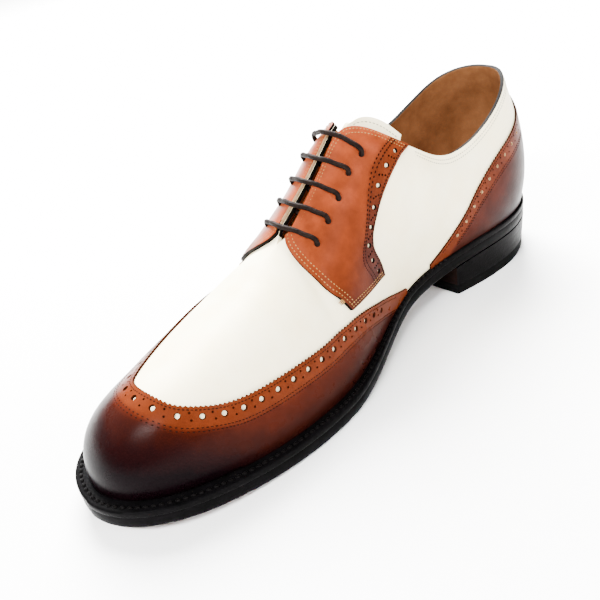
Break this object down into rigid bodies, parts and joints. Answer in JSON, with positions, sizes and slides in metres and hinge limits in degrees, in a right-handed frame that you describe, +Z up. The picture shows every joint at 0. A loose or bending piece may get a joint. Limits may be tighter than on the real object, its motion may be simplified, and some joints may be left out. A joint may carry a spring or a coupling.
{
  "type": "two-tone brogue lace-up shoe",
  "caption": "Right-foot leather brogue lace-up shoe: ivory upper, burnished tan wing cap, counter and open facings, welted sole with stacked heel.",
  "frame": {"origin": "middle of the bounding box on the floor plane", "axes": "+Z up, toe to -Y, heel to +Y, medial side of the right foot to +X"},
  "size_m": [0.1035, 0.3092, 0.1165],
  "materials": {
    "ivory_calf": "smooth ivory calf, softly polished",
    "burnished_tan_calf": "tan calf burnished to near black at the toe, glossy",
    "tan_calf": "polished tan calf with pinked edges",
    "waxed_cotton": "dark brown round waxed lace",
    "black_edge": "black edge-inked leather with a dull shine",
    "sole_leather": "stained sole leather, black at the edge",
    "insole_leather": "plain matt leather sock",
    "rubber": "matt black rubber top piece"
  },
  "bodies": {
    "root": {"upper": "ivory_calf", "tongue": "ivory_calf", "wing_cap": "burnished_tan_calf", "counter": "tan_calf", "facing_medial": "tan_calf", "facing_lateral": "tan_calf", "lace": "waxed_cotton", "welt": "black_edge", "outsole": "sole_leather", "insole": "insole_leather", "heel_stack": "black_edge", "heel_top_lift": "rubber"}
  },
  "joints": []
}
